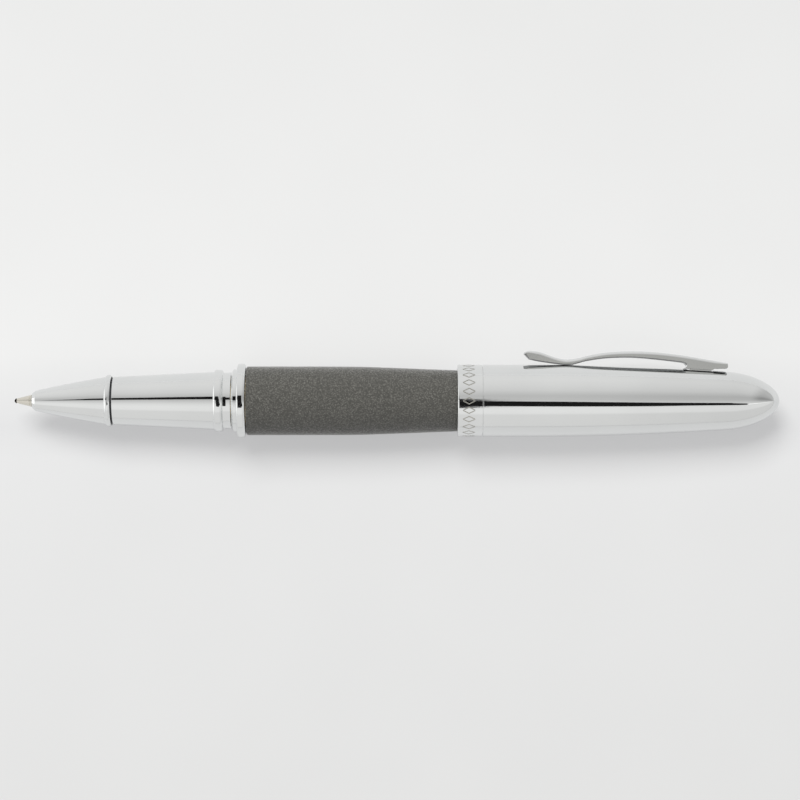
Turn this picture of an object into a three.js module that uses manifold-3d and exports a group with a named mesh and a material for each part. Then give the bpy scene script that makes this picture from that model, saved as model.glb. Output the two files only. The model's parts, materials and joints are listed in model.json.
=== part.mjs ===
// A rollerball pen with a leather-wrapped barrel and its cap posted on the tail, lying on its side.
// Millimetres, +Z up. The writing tip points to -X and the clip to +Y. Every turned piece shares one
// axis; a station is a distance along it from the foremost point of the ball, and a radius is
// measured across the flats of the faceted piece.
import * as THREE from 'three';
import { mergeVertices } from 'three/addons/utils/BufferGeometryUtils.js';
import Module from 'manifold-3d';

const wasm = await Module();
wasm.setup();

// ---- facets ----
const FACETS = 32; // sides of the large turned pieces
const INNER_FACETS = 20; // sides of the refill
const FINE_FACETS = 16; // sides of the thread, the writing tip, the wick and the rivet

// ---- overall ----
const LENGTH = 150; // ball to dome, cap posted
const RING_R = 7.3; // the largest ring, which the pen lies on
const CLIP_REACH = 9.8; // the clip's highest point above the pen's axis

// ---- refill ----
const BALL_R = 0.35;
const SOCKET_R = 0.39;
const LIP_R = 0.345; // the socket's turned-in lip, which keeps the ball
const CONE_END = 3.35;
const CONE_R = 1.2;
const SHANK_R = 1.15;
const SHANK_END = 8.4;
const INK_BORE_R = 0.6;
const WICK_R = 0.5;
const WICK_FROM = 2.5;
const WICK_TO = 30;
const REFILL_R = 3.05;
const REFILL_BORE_R = 2.75;
const PLUG_FIT_R = 2.65; // spigots pressed into the refill tube
const RESERVOIR_R = 2.6;
const REFILL_SHOULDER = 9.25; // rests on the shoulder in the nose cone
const TUBE_FROM = 18.1;
const TUBE_TO = 109;
const REFILL_END = 110.5;

// ---- grip section ----
const NOSE_FRONT = 3.55;
const NOSE_HOLE_R = 1.35;
const NOSE_FRONT_R = 1.96;
const BEAD_FROM = 17.95;
const BEAD_TO = 19.3;
const BEAD_R = 5.1;
const GRIP_FROM = 19.4;
const GRIP_TO = 42.6;
const GRIP_FRONT_R = 4.7;
const GRIP_BORE_R = 4.3;
const SNAP_FROM = 39.3; // the bead that the cap snaps over
const SNAP_TO = 41.5;
const SNAP_R = 6.1;
const GROOVE_R = 5.55;
const REFILL_ROOM_R = 3.3; // bore of the section round the refill

// ---- thread between the section and the barrel ----
const PITCH = 1;
const THREAD_CORE_R = 3.75; // external thread, root
const THREAD_CREST_R = 4.15; // external thread, crest
const BUSH_CREST_R = 3.97; // internal thread, crest
const BUSH_ROOT_R = 4.3; // internal thread, root
const THREAD_FROM = 43.6;
const THREAD_TURNS = 4.5; // to take the section off

// ---- barrel ----
const COLLAR_FROM = 42.75;
const COLLAR_R = 6.2;
const RING_FROM = 44;
const RING_TO = 45.5;
const BARREL_R = 6.75;
const TAPER_FROM = 68;
const TAPER = 0.04; // radius lost per mm behind TAPER_FROM
const LEATHER = 0.8; // thickness of the wrap
const TUBE_WALL = 0.7;
const GLUE_LINE = 0.05;
const LEATHER_FROM = 45.6;
const TAIL_FROM = 106;
const TAIL_TO = 119.5;
const TAIL_R = 4.75;
const TAIL_BORE_R = 3.2;
const TAIL_SPIGOT_R = 3.6;
const TAIL_SPIGOT_FROM = 102;
const TAIL_FLOOR = 117.5;
const SPRING_WIRE_R = 0.25;
const SPRING_COIL_R = 2.65;
const SPRING_TURNS = 5;

// ---- cap ----
const MOUTH = 86.8;
const MOUTH_BORE_R = 6.4;
const MOUTH_BEVEL = 0.35;
const BAND_TO = 91.7;
const CAP_R = 7.1;
const CAP_WALL = 0.7;
const SHELL_FROM = 91.8;
const BAND_SEAT_FROM = 88.5; // the shell's spigot under the band
const BAND_SEAT_R = 6.65;
const BOW_FROM = 98; // the shell narrows in one long arc from here
const BOW = 0.0008;
const DOME_FROM = 140; // and ends in a dome
const SNAP_RING_FROM = 92.1;
const SNAP_RING_TO = 94.5;
const SNAP_RING_R = 6.5;
const SNAP_RING_GRIP_R = 6;
const SNAP_RING_SPLIT = 1.2;
const INNER_CAP_FROM = 119.9;
const INNER_CAP_TO = 132.6;
const INNER_CAP_R = 3.75;

// ---- clip ----
const CLIP_HALF_WIDTH = 1.7;
const CLIP_WAIST = 0.35; // how much narrower each side is at the waist
const CLIP_TIP = 99.8;
const CLIP_END = 139.75;
const CLIP_WAIST_AT = 112;
const LUG_FROM = 132.2;
const LUG_TO = 136.6;
const LUG_HALF_WIDTH = 1.05;
const LUG_FLOOR = 3.1; // lowest point of the lug above the axis
const SLOT_PLAY = 0.35;
const RIVET_AT = 135; // the rivet is the hinge line of the clip
const RIVET_HEIGHT = 3.9;
const RIVET_R = 0.5;
const RIVET_HEAD_R = 0.75;
const RIVET_HOLE_R = 0.62;
const CHEEK_INNER = 1.3;
const CHEEK_OUTER = 1.8;

const range = (count, value) => Array.from({ length: count }, (_, i) => value(i));

// ---- outlines ----
const noseRadius = (s) => NOSE_FRONT_R + 0.2275 * (s - 4) - 0.0022 * (s - 4) ** 2;
const barrelRadius = (s) => BARREL_R - TAPER * Math.max(0, s - TAPER_FROM);
const capBow = (s) => CAP_R - BOW * Math.max(0, s - BOW_FROM) ** 2;

// A rounded bead standing on a turned surface.
function bead(from, to, base, crest, steps = 4) {
  return range(steps + 1, (i) => {
    const angle = (Math.PI * i) / steps;
    const station = (from + to) / 2 - ((to - from) / 2) * Math.cos(angle);
    return [station, base + (crest - base) * Math.sin(angle)];
  });
}

// The cap's surface, `wall` deep under the outside, from a station to the tip of its dome.
function capOutline(from, wall, steps = 5, domeSteps = 6) {
  const domeLength = LENGTH - DOME_FROM - wall;
  const body = range(steps, (i) => {
    const station = from + ((DOME_FROM - from) * i) / steps;
    return [station, capBow(station) - wall];
  });
  const dome = range(domeSteps + 1, (i) => {
    const angle = (Math.PI / 2) * (i / domeSteps);
    const station = DOME_FROM + domeLength * Math.sin(angle);
    const radius = i === domeSteps ? 0 : (capBow(station) - wall) * Math.cos(angle);
    return [station, radius];
  });
  return [...body, ...dome];
}

// ---- solids ----

// Turns a profile of [station, radius] points round the pen's axis, outer side first. A profile
// that doesn't end on the axis closes on itself.
function turned(profile, facets = FACETS) {
  const acrossFlats = 1 / Math.cos(Math.PI / facets);
  const points = profile.map(([station, radius]) => new THREE.Vector2(radius * acrossFlats, station));
  if (profile[0][1] > 0) points.push(points[0].clone());
  const lathe = new THREE.LatheGeometry(points, facets, Math.PI / facets);
  return lathe.rotateZ(-Math.PI / 2);
}

// Extrudes a closed outline of [station, height] points evenly to both sides of the pen's middle.
function plate(outline, halfWidth) {
  const shape = outline instanceof THREE.Shape ? outline
    : new THREE.Shape(outline.map(([station, height]) => new THREE.Vector2(station, height)));
  const options = { depth: 2 * halfWidth, bevelEnabled: false, curveSegments: 4 };
  return new THREE.ExtrudeGeometry(shape, options).translate(0, 0, -halfWidth);
}

function box(from, to, bottom, top, halfWidth) {
  return plate([[from, bottom], [to, bottom], [to, top], [from, top]], halfWidth);
}

// A round bar across the pen, parallel to Z.
function crossBar(station, height, profile) {
  const points = profile.map(([radius, z]) => new THREE.Vector2(radius, z));
  const bar = new THREE.LatheGeometry(points, FINE_FACETS).rotateX(Math.PI / 2);
  return bar.translate(station, height, 0);
}

const rivetHole = () => crossBar(RIVET_AT, RIVET_HEIGHT, [
  [0, -CAP_R], [RIVET_HOLE_R, -CAP_R], [RIVET_HOLE_R, CAP_R], [0, CAP_R],
]);

// A helical ridge: a straight bar with the ridge's section, wrapped round the axis.
function threadRidge(rootRadius, crestRadius, from, turns) {
  const rootHalf = 0.32;
  const crestHalf = 0.14;
  const section = new THREE.Shape([
    new THREE.Vector2(-rootHalf, rootRadius),
    new THREE.Vector2(-crestHalf, crestRadius),
    new THREE.Vector2(crestHalf, crestRadius),
    new THREE.Vector2(rootHalf, rootRadius),
  ]);
  const steps = Math.round(turns * FINE_FACETS);
  const bar = new THREE.ExtrudeGeometry(section, { depth: turns, steps, bevelEnabled: false });
  const place = bar.getAttribute('position');
  for (let i = 0; i < place.count; i += 1) {
    const turn = place.getZ(i);
    const radius = place.getY(i);
    const angle = 2 * Math.PI * turn;
    const station = from + PITCH * turn + place.getX(i);
    place.setXYZ(i, station, radius * Math.cos(angle), radius * Math.sin(angle));
  }
  return bar;
}

// ---- joining and cutting ----
function solid(geometry) {
  const bare = geometry.clone();
  bare.deleteAttribute('normal');
  bare.deleteAttribute('uv');
  const merged = mergeVertices(bare, 1e-4);
  const index = merged.getIndex().array;
  const triangles = [];
  for (let i = 0; i < index.length; i += 3) {
    const [a, b, c] = [index[i], index[i + 1], index[i + 2]];
    if (a !== b && b !== c && c !== a) triangles.push(a, b, c);
  }
  return new wasm.Manifold(new wasm.Mesh({
    numProp: 3,
    vertProperties: new Float32Array(merged.getAttribute('position').array),
    triVerts: new Uint32Array(triangles),
  }));
}

function geometryOf(manifold) {
  const { vertProperties, triVerts } = manifold.getMesh();
  const geometry = new THREE.BufferGeometry();
  geometry.setAttribute('position', new THREE.BufferAttribute(vertProperties, 3));
  geometry.setIndex(new THREE.BufferAttribute(triVerts, 1));
  geometry.computeVertexNormals();
  return geometry;
}

const joined = (first, ...others) => geometryOf(
  others.reduce((sum, other) => sum.add(solid(other)), solid(first)),
);
const cut = (first, ...tools) => geometryOf(
  tools.reduce((rest, tool) => rest.subtract(solid(tool)), solid(first)),
);

// ---- materials ----
const chrome = () => new THREE.MeshStandardMaterial({ color: 0xd4d6d6, metalness: 1, roughness: 0.08 });
const brass = () => new THREE.MeshStandardMaterial({ color: 0xb5964f, metalness: 1, roughness: 0.35 });
const steel = () => new THREE.MeshStandardMaterial({ color: 0xa8aaac, metalness: 1, roughness: 0.3 });
const carbide = () => new THREE.MeshStandardMaterial({ color: 0x6c6e70, metalness: 1, roughness: 0.15 });
const leather = () => new THREE.MeshStandardMaterial({ color: 0x63625d, metalness: 0, roughness: 0.6 });
const plastic = (color) => new THREE.MeshStandardMaterial({ color, metalness: 0, roughness: 0.5 });

function piece(group, name, geometry, material) {
  const mesh = new THREE.Mesh(geometry, material);
  mesh.name = name;
  group.add(mesh);
}

// ---- refill ----
function refillTip() {
  return turned([
    [0.2, LIP_R], [0.2, 0.42], [0.6, 0.48], [CONE_END, CONE_R], [CONE_END + 0.05, SHANK_R],
    [SHANK_END, SHANK_R], [SHANK_END, INK_BORE_R], [WICK_FROM - 0.1, INK_BORE_R], [2.2, 0.22],
    [0.8, 0.22], [0.7, SOCKET_R], [BALL_R, SOCKET_R],
  ], FINE_FACETS);
}

function refillNose() {
  const front = 5.3;
  const backstop = SHANK_END + 0.2;
  const collar = 16.5;
  return turned([
    [front, SHANK_R + 0.1], [front, 1.6], [REFILL_SHOULDER, 1.6], [REFILL_SHOULDER, 2.25],
    [collar, 2.25], [collar, 2.9], [TUBE_FROM - 0.1, 2.9], [TUBE_FROM - 0.1, PLUG_FIT_R],
    [24, PLUG_FIT_R], [24, WICK_R + 0.15], [backstop, WICK_R + 0.15], [backstop, SHANK_R + 0.1],
  ], INNER_FACETS);
}

function refillTube() {
  return turned([
    [TUBE_FROM, REFILL_BORE_R], [TUBE_FROM, REFILL_R], [TUBE_TO, REFILL_R], [TUBE_TO, REFILL_BORE_R],
  ], INNER_FACETS);
}

function inkReservoir() {
  const wickHole = WICK_TO + 0.6;
  return turned([
    [wickHole, 0], [wickHole, WICK_R + 0.12], [24.3, WICK_R + 0.12], [24.3, RESERVOIR_R],
    [104, RESERVOIR_R], [104, 0],
  ], INNER_FACETS);
}

function refillEndPlug() {
  const ventR = 0.4;
  return turned([
    [105, ventR], [105, PLUG_FIT_R], [TUBE_TO + 0.1, PLUG_FIT_R], [TUBE_TO + 0.1, REFILL_R],
    [REFILL_END, REFILL_R], [REFILL_END, ventR],
  ], INNER_FACETS);
}

// ---- grip section ----
function noseCone() {
  const curve = range(5, (i) => {
    const station = 4 + ((BEAD_FROM - 4) * i) / 5;
    return [station, noseRadius(station)];
  });
  return turned([
    [NOSE_FRONT, NOSE_HOLE_R], [NOSE_FRONT, 1.7], [3.65, 1.87], ...curve,
    ...bead(BEAD_FROM, BEAD_TO, GRIP_FRONT_R, BEAD_R),
    [BEAD_TO, GRIP_BORE_R - 0.1], [24, GRIP_BORE_R - 0.1], [24, REFILL_ROOM_R],
    [16.3, REFILL_ROOM_R], [16.3, 2.4], [REFILL_SHOULDER - 0.05, 2.4],
    [REFILL_SHOULDER - 0.05, 1.75], [5, 1.75], [5, NOSE_HOLE_R],
  ]);
}

function gripTube() {
  return turned([
    [GRIP_FROM, GRIP_BORE_R], [GRIP_FROM, GRIP_FRONT_R],
    ...bead(SNAP_FROM, SNAP_TO, 5.69, SNAP_R),
    [SNAP_TO + 0.1, GROOVE_R], [GRIP_TO - 0.15, GROOVE_R], [GRIP_TO, GROOVE_R - 0.15],
    [GRIP_TO, GRIP_BORE_R],
  ]);
}

function sectionCoupling() {
  const liner = turned([
    [28, REFILL_ROOM_R], [28, GRIP_BORE_R - 0.15], [GRIP_TO, GRIP_BORE_R - 0.15],
    [GRIP_TO, THREAD_CORE_R], [48.8, THREAD_CORE_R], [48.8, REFILL_ROOM_R],
  ], FINE_FACETS);
  return joined(liner, threadRidge(THREAD_CORE_R - 0.15, THREAD_CREST_R, THREAD_FROM, THREAD_TURNS));
}

// ---- barrel ----
function barrelFrontRing() {
  const boreR = 5;
  const edge = 0.4;
  return turned([
    [COLLAR_FROM, boreR], [COLLAR_FROM, COLLAR_R - 0.25], [COLLAR_FROM + 0.25, COLLAR_R],
    [RING_FROM, COLLAR_R], [RING_FROM, RING_R - edge], [RING_FROM + 0.12, RING_R - 0.12],
    [RING_FROM + edge, RING_R], [RING_TO - edge, RING_R], [RING_TO - 0.12, RING_R - 0.12],
    [RING_TO, RING_R - edge], [RING_TO, boreR],
  ]);
}

function barrelThreadBush() {
  const flangeFrom = RING_TO + 0.2;
  const threadTo = 49.2;
  const end = 51.5;
  const bush = turned([
    [42.9, BUSH_ROOT_R], [42.9, 4.85], [flangeFrom, 4.85], [flangeFrom, 5.05], [end, 5.05],
    [end, REFILL_ROOM_R + 0.2], [threadTo, REFILL_ROOM_R + 0.2], [threadTo, BUSH_ROOT_R],
  ], FINE_FACETS);
  const from = THREAD_FROM - PITCH / 2;
  return joined(bush, threadRidge(BUSH_ROOT_R + 0.25, BUSH_CREST_R, from, THREAD_TURNS + 0.5));
}

// A sleeve along the barrel whose two sides lie at the given depths under the leather's surface.
function barrelSleeve(outerDepth, innerDepth) {
  const stations = [LEATHER_FROM, TAPER_FROM, TAIL_FROM];
  return turned([
    ...stations.map((station) => [station, barrelRadius(station) - outerDepth]),
    ...stations.reverse().map((station) => [station, barrelRadius(station) - innerDepth]),
  ]);
}

function barrelEndCap() {
  const from = TAIL_FROM + 0.1;
  const rounding = 1.5;
  const rounded = range(5, (i) => {
    const angle = (Math.PI / 2) * (i / 4);
    return [
      TAIL_TO - rounding + rounding * Math.sin(angle),
      TAIL_R - rounding + rounding * Math.cos(angle),
    ];
  });
  return turned([
    [TAIL_FLOOR, 0], [TAIL_FLOOR, TAIL_BORE_R], [TAIL_SPIGOT_FROM, TAIL_BORE_R],
    [TAIL_SPIGOT_FROM, TAIL_SPIGOT_R], [from, TAIL_SPIGOT_R], [from, barrelRadius(from)],
    ...rounded, [TAIL_TO, 0],
  ]);
}

class Helix extends THREE.Curve {
  constructor(radius, from, to, turns) {
    super();
    Object.assign(this, { radius, from, to, turns });
  }

  getPoint(t, target = new THREE.Vector3()) {
    const angle = 2 * Math.PI * this.turns * t;
    const station = this.from + (this.to - this.from) * t;
    return target.set(station, this.radius * Math.cos(angle), this.radius * Math.sin(angle));
  }
}

function refillSpring() {
  const play = 0.3;
  const from = REFILL_END + SPRING_WIRE_R + play;
  const to = TAIL_FLOOR - SPRING_WIRE_R - play;
  const coil = new Helix(SPRING_COIL_R, from, to, SPRING_TURNS);
  const wire = new THREE.Shape().absarc(0, 0, SPRING_WIRE_R, 0, 2 * Math.PI);
  return new THREE.ExtrudeGeometry(wire, {
    extrudePath: coil, steps: 12 * SPRING_TURNS, curveSegments: 3, bevelEnabled: false,
  });
}

// ---- cap ----
function capBand() {
  const seat = BAND_SEAT_FROM - 0.15;
  return turned([
    [MOUTH, MOUTH_BORE_R], [MOUTH, CAP_R - MOUTH_BEVEL], [MOUTH + MOUTH_BEVEL, CAP_R],
    [BAND_TO, CAP_R], [BAND_TO, BAND_SEAT_R + 0.1], [seat, BAND_SEAT_R + 0.1], [seat, MOUTH_BORE_R],
  ]);
}

function capShell() {
  const recessFrom = SNAP_RING_FROM - 0.15;
  const recessTo = SNAP_RING_TO + 0.15;
  const recessR = SNAP_RING_R + 0.1;
  const shell = turned([
    ...capOutline(BOW_FROM, CAP_WALL, 3, 4).reverse(),
    [recessTo, MOUTH_BORE_R], [recessTo, recessR], [recessFrom, recessR],
    [recessFrom, MOUTH_BORE_R], [BAND_SEAT_FROM, MOUTH_BORE_R], [BAND_SEAT_FROM, BAND_SEAT_R],
    [SHELL_FROM, BAND_SEAT_R], [SHELL_FROM, CAP_R], ...capOutline(BOW_FROM, 0),
  ]);
  const slot = box(
    LUG_FROM - SLOT_PLAY, LUG_TO + SLOT_PLAY, LUG_FLOOR, CLIP_REACH, LUG_HALF_WIDTH + 0.2,
  );
  return cut(shell, slot);
}

function capSnapRing() {
  const edgeR = SNAP_RING_R - 0.2;
  const ring = turned([
    [SNAP_RING_FROM, edgeR], [SNAP_RING_FROM, SNAP_RING_R], [SNAP_RING_TO, SNAP_RING_R],
    [SNAP_RING_TO, edgeR], [93.6, SNAP_RING_GRIP_R], [93, SNAP_RING_GRIP_R],
  ]);
  const split = box(SNAP_RING_FROM - 1, SNAP_RING_TO + 1, -CAP_R, 0, SNAP_RING_SPLIT / 2);
  return cut(ring, split);
}

function innerCap() {
  const seatR = 2;
  const floor = INNER_CAP_TO - 1;
  return turned([
    [floor, 0], [floor, seatR], [128, seatR], [124.6, INNER_CAP_R], [INNER_CAP_FROM, INNER_CAP_R],
    [INNER_CAP_FROM, 5.85], [INNER_CAP_FROM + 1.5, 5.85], [INNER_CAP_FROM + 1.5, 4.4], [126.2, 4.4],
    [129.5, 2.9], [INNER_CAP_TO, 2.9], [INNER_CAP_TO, 0],
  ]);
}

function clipBracket() {
  const from = LUG_FROM + 0.8;
  const bridge = LUG_TO + 0.6;
  const to = bridge + 0.9;
  const block = solid(box(from, to, LUG_FLOOR, CAP_R, CHEEK_OUTER));
  const lugRoom = solid(box(from - 1, bridge, 0, CAP_R + 1, CHEEK_INNER));
  const hole = solid(rivetHole());
  const bowAt = (station) => [station, capBow(station) - CAP_WALL - 0.15];
  const insideOfShell = solid(turned([[from - 1, 0], bowAt(from - 1), bowAt(to + 1), [to + 1, 0]]));
  return geometryOf(block.subtract(lugRoom).subtract(hole).intersect(insideOfShell));
}

function clipRivet() {
  const headFrom = CHEEK_OUTER + 0.08;
  const headTo = headFrom + 0.35;
  return crossBar(RIVET_AT, RIVET_HEIGHT, [
    [0, -headTo], [RIVET_HEAD_R, -headTo], [RIVET_HEAD_R, -headFrom], [RIVET_R, -headFrom],
    [RIVET_R, headFrom], [RIVET_HEAD_R, headFrom], [RIVET_HEAD_R, headTo], [0, headTo],
  ]);
}

// ---- clip ----
// The side view of the clip: a long bow, a foot that presses on the cap, a flared finger end and a
// root plate that stands on the cap.
function clipSide() {
  const at = (station, height) => new THREE.Vector2(station, height);
  const footing = (station) => at(station, capBow(station) + 0.1);
  const side = new THREE.Shape();
  side.moveTo(CLIP_END, 7.1);
  side.absarc(CLIP_END - 0.35, 7.1, 0.35, 0, 0.4 * Math.PI);
  side.splineThru([
    at(131.5, 8.82), at(126, 9.49), at(121, 9.7), at(116.5, 9.51), at(113, 8.98), at(110.5, 8.36),
    at(108.3, 8.1), at(106.4, 8.4), at(104.6, 9), at(102.8, 9.6), at(100.9, CLIP_REACH),
    at(CLIP_TIP + 0.15, 9.55),
  ]);
  side.lineTo(CLIP_TIP, 9.2);
  side.lineTo(100.9, 8.1);
  side.splineThru([at(102.6, 7.73), at(105, 7.43), at(107.4, 7.2), at(109.6, 7.18)]);
  side.splineThru([
    at(110.6, 7.5), at(112.3, 7.85), at(115.8, 8.3), at(120, 8.45), at(124, 8.24), at(130.2, 7.55),
  ]);
  side.splineThru([at(131.3, 7.3), at(131.7, 6.85), at(131.2, 6.42)]);
  side.lineTo(131.1, capBow(131.1) + 0.1);
  side.splineThru([footing(133), footing(135), footing(136.8)]);
  side.lineTo(137, 6.27);
  side.lineTo(CLIP_END - 0.3, 6.27);
  side.lineTo(CLIP_END, 6.55);
  return side;
}

function pocketClip() {
  const bow = plate(clipSide(), CLIP_HALF_WIDTH);
  const place = bow.getAttribute('position');
  for (let i = 0; i < place.count; i += 1) {
    const along = (place.getX(i) - CLIP_WAIST_AT) / (RIVET_AT - CLIP_WAIST_AT);
    const narrowing = CLIP_WAIST * Math.max(0, 1 - along ** 2) ** 2;
    place.setZ(i, Math.sign(place.getZ(i)) * (CLIP_HALF_WIDTH - narrowing));
  }
  const lug = box(LUG_FROM, LUG_TO, LUG_FLOOR, 7, LUG_HALF_WIDTH);
  return geometryOf(solid(bow).add(solid(lug)).subtract(solid(rivetHole())));
}

// ---- the pen ----
const pen = new THREE.Group();
pen.position.set(-LENGTH / 2, -(CLIP_REACH - RING_R) / 2, RING_R);

const refill = new THREE.Group();
const ball = new THREE.SphereGeometry(BALL_R, FINE_FACETS, 10).translate(BALL_R, 0, 0);
piece(refill, 'writing_ball', ball, carbide());
piece(refill, 'refill_tip', refillTip(), steel());
piece(refill, 'refill_nose', refillNose(), plastic(0x222426));
piece(refill, 'refill_tube', refillTube(), steel());
piece(refill, 'ink_reservoir', inkReservoir(), plastic(0x1a1c30));
const wick = [[WICK_FROM, 0], [WICK_FROM, WICK_R], [WICK_TO, WICK_R], [WICK_TO, 0]];
piece(refill, 'feed_wick', turned(wick, FINE_FACETS), plastic(0x1a1c30));
piece(refill, 'refill_end_plug', refillEndPlug(), plastic(0x222426));

const section = new THREE.Group();
piece(section, 'nose_cone', noseCone(), chrome());
piece(section, 'grip_tube', gripTube(), chrome());
piece(section, 'section_coupling', sectionCoupling(), brass());

const barrel = new THREE.Group();
piece(barrel, 'barrel_front_ring', barrelFrontRing(), chrome());
piece(barrel, 'barrel_thread_bush', barrelThreadBush(), brass());
piece(barrel, 'leather_wrap', barrelSleeve(0, LEATHER), leather());
const tubeDepth = LEATHER + GLUE_LINE;
piece(barrel, 'barrel_tube', barrelSleeve(tubeDepth, tubeDepth + TUBE_WALL), brass());
piece(barrel, 'barrel_end_cap', barrelEndCap(), chrome());
piece(barrel, 'refill_spring', refillSpring(), steel());

const cap = new THREE.Group();
piece(cap, 'cap_band', capBand(), chrome());
piece(cap, 'cap_shell', capShell(), chrome());
piece(cap, 'cap_snap_ring', capSnapRing(), steel());
piece(cap, 'inner_cap', innerCap(), plastic(0x2a2c2e));
piece(cap, 'clip_bracket', clipBracket(), steel());
piece(cap, 'clip_rivet', clipRivet(), steel());
piece(cap, 'pocket_clip', pocketClip(), chrome());

pen.add(refill, section, barrel, cap);

export default pen;
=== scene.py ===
"""A chromed rollerball pen with a leather-wrapped barrel, lying on a pale surface.

Lengths are in millimetres until a mesh is made. A station is a distance along the pen's axis from
the foremost point of the ball. An outline is a list of (station, radius, corner) points, outer side
first; a corner is SHARP, SMOOTH or the radius of its rounding.
"""
import json
import math

import bpy
import numpy as np
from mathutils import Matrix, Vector, noise


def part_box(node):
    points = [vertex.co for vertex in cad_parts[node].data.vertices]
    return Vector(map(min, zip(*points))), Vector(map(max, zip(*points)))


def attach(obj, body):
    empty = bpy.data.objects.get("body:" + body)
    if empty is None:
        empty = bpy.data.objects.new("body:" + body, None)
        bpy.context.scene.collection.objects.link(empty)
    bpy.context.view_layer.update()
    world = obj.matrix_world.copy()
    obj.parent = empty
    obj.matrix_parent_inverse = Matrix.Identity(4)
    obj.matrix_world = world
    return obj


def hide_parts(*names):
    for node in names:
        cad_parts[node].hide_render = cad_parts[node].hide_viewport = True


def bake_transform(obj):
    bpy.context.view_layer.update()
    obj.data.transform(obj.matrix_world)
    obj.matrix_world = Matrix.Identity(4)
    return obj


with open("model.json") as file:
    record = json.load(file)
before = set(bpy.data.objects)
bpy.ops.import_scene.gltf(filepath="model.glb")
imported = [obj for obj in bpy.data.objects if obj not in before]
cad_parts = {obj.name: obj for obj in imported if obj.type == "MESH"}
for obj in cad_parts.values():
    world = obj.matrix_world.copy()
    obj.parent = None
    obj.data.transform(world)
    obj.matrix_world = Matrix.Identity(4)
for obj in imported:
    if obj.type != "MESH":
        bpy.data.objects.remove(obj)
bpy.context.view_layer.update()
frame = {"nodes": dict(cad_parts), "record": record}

MM = 0.001
SHARP = 0.0
SMOOTH = -1.0
SAME = 1e-6  # stations or radii no further apart than this are the same
FULL_TURN = 2 * math.pi
ARC_STEP = math.radians(9)  # turn between two samples of a rounded corner
CREASE = math.radians(35)  # a raised piece's edges that turn more than this look sharp
FINE = 192  # columns round a visible piece
COARSE = 96  # columns round a small or hidden piece

TIP_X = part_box("writing_ball")[0].x
RING_LOW, RING_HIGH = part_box("barrel_front_ring")
AXIS_Y = (RING_LOW.y + RING_HIGH.y) / 2
AXIS_Z = (RING_LOW.z + RING_HIGH.z) / 2


def span(node):
    """First and last station of a CAD node."""
    low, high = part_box(node)
    return (low.x - TIP_X) / MM, (high.x - TIP_X) / MM


def reach(node):
    """Largest radius of a turned CAD node."""
    low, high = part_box(node)
    return (high.z - low.z) / 2 / MM


def body_of(node):
    groups = frame["record"]["behaviour"]["bodies"]
    return next(body for body, nodes in groups.items() if node in nodes)


def world_point(station, across, up):
    """A point given by its station and its offsets from the pen's axis along Y and Z."""
    return (TIP_X + station * MM, AXIS_Y + across * MM, AXIS_Z + up * MM)


# ---- outlines ----

def heading(a, b):
    run, rise = b[0] - a[0], b[1] - a[1]
    length = math.hypot(run, rise)
    return run / length, rise / length


def left_of(direction):
    return -direction[1], direction[0]


def middle(a, b):
    total = a[0] + b[0], a[1] + b[1]
    length = math.hypot(*total)
    return total[0] / length, total[1] / length


def rounding(point, before, after, radius, steps=None):
    """Samples of the arc that rounds the corner at point, where the outline turns."""
    cross = before[0] * after[1] - before[1] * after[0]
    turn = math.atan2(cross, before[0] * after[0] + before[1] * after[1])
    side = math.copysign(radius, turn)
    back = radius * math.tan(abs(turn) / 2)
    normal = left_of(before)
    centre = (
        point[0] - before[0] * back + normal[0] * side,
        point[1] - before[1] * back + normal[1] * side,
    )
    count = steps or max(2, round(abs(turn) / ARC_STEP))
    samples = []
    for i in range(count + 1):
        cos, sin = math.cos(turn * i / count), math.sin(turn * i / count)
        n = normal[0] * cos - normal[1] * sin, normal[0] * sin + normal[1] * cos
        samples.append((centre[0] - n[0] * side, centre[1] - n[1] * side, n, n))
    return samples


def trace(outline, steps=None):
    """Samples of an outline: (station, radius, normal before, normal after, its point's number)."""
    closed = outline[0][1] > 0
    last = len(outline) - 1
    samples = []
    for i, (station, radius, corner) in enumerate(outline):
        point = (station, radius)
        if not closed and i in (0, last):
            pole = (-1, 0) if i == 0 else (1, 0)
            samples.append((*point, pole, pole, i))
            continue
        before = heading(outline[i - 1], point)
        after = heading(point, outline[(i + 1) % (last + 1)])
        if corner == SMOOTH:
            normal = middle(left_of(before), left_of(after))
            samples.append((*point, normal, normal, i))
        elif corner > 0:
            samples.extend((*s, i) for s in rounding(point, before, after, corner, steps))
        else:
            samples.append((*point, left_of(before), left_of(after), i))
    return samples


def refined(outline, longest, start, end):
    """The outline with its stretches between two stations cut into steps of at most longest."""
    result = []
    for i, point in enumerate(outline):
        result.append(point)
        following = outline[(i + 1) % len(outline)]
        low, high = sorted((point[0], following[0]))
        if low < start - SAME or high > end + SAME:
            continue
        steps = math.ceil(math.dist(point[:2], following[:2]) / longest)
        for k in range(1, steps):
            t = k / steps
            result.append((
                point[0] + (following[0] - point[0]) * t,
                point[1] + (following[1] - point[1]) * t,
                SMOOTH,
            ))
    return result


def curve(function, start, end, steps):
    """Points of a smooth stretch of outline between two stations."""
    stations = [start + (end - start) * i / steps for i in range(steps + 1)]
    return [(s, function(s), SMOOTH) for s in stations]


def bead(start, end, base, crest, steps=16):
    """A half-round bead standing on a turned surface."""
    points = []
    for i in range(steps + 1):
        angle = math.pi * i / steps
        station = (start + end) / 2 - (end - start) / 2 * math.cos(angle)
        corner = SHARP if i in (0, steps) else SMOOTH
        points.append((station, base + (crest - base) * math.sin(angle), corner))
    return points


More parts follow.
